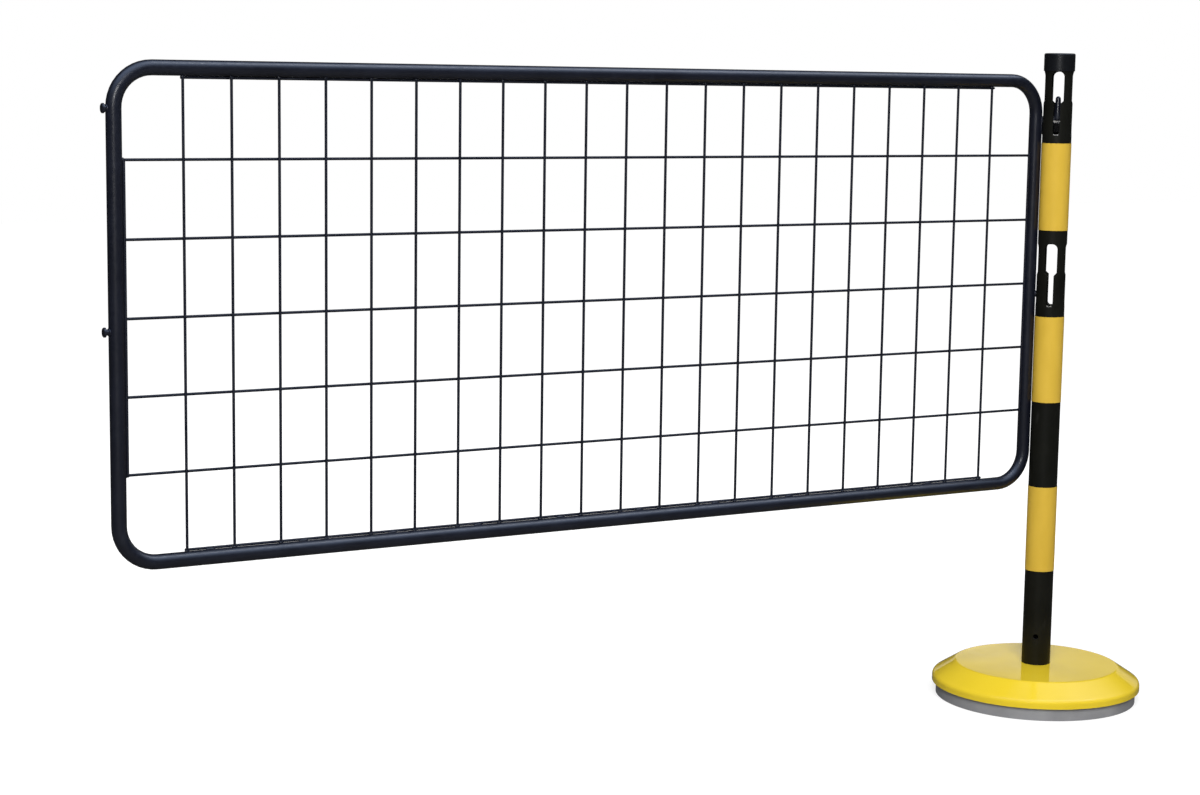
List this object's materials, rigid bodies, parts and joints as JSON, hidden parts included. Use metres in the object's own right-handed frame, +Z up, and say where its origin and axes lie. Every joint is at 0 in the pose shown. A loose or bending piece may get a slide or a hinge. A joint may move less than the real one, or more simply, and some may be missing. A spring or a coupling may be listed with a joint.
{
  "type": "machine guard fence panel",
  "caption": "Portable fence panel of wire mesh in a bent tube frame, hooked into the keyholes of a yellow and black banded post on a round base.",
  "frame": {"origin": "middle of the underside of the round base, on the axis of the post", "axes": "+Z up along the post, -X along the panel away from the post, +Y towards the side of the post that the panel stands on"},
  "size_m": [1.6844, 0.327, 1.019],
  "materials": {
    "frame_coat": "satin",
    "zinc": "satin",
    "post_paint": "satin",
    "band_yellow": "gloss",
    "cap_plastic": "matte",
    "cover_yellow": "gloss",
    "foot_grey": "matte"
  },
  "bodies": {
    "post": {"post_tube": "post_paint", "band_upper": "band_yellow", "band_middle": "band_yellow", "band_lower": "band_yellow", "post_cap": "cap_plastic", "base_cover": "cover_yellow", "base_foot": "foot_grey", "base_spigot": "zinc"},
    "panel": {"frame_tube": "frame_coat", "wire_mesh": "frame_coat", "left_stud_upper": "frame_coat", "left_stud_lower": "frame_coat", "right_hook_upper": "frame_coat", "right_stud_lower": "frame_coat"}
  },
  "joints": [
    {"name": "panel_lift", "type": "slide", "parent": "post", "child": "panel", "axis": [0, 0, 1], "range_m": [0, 0.035]}
  ]
}
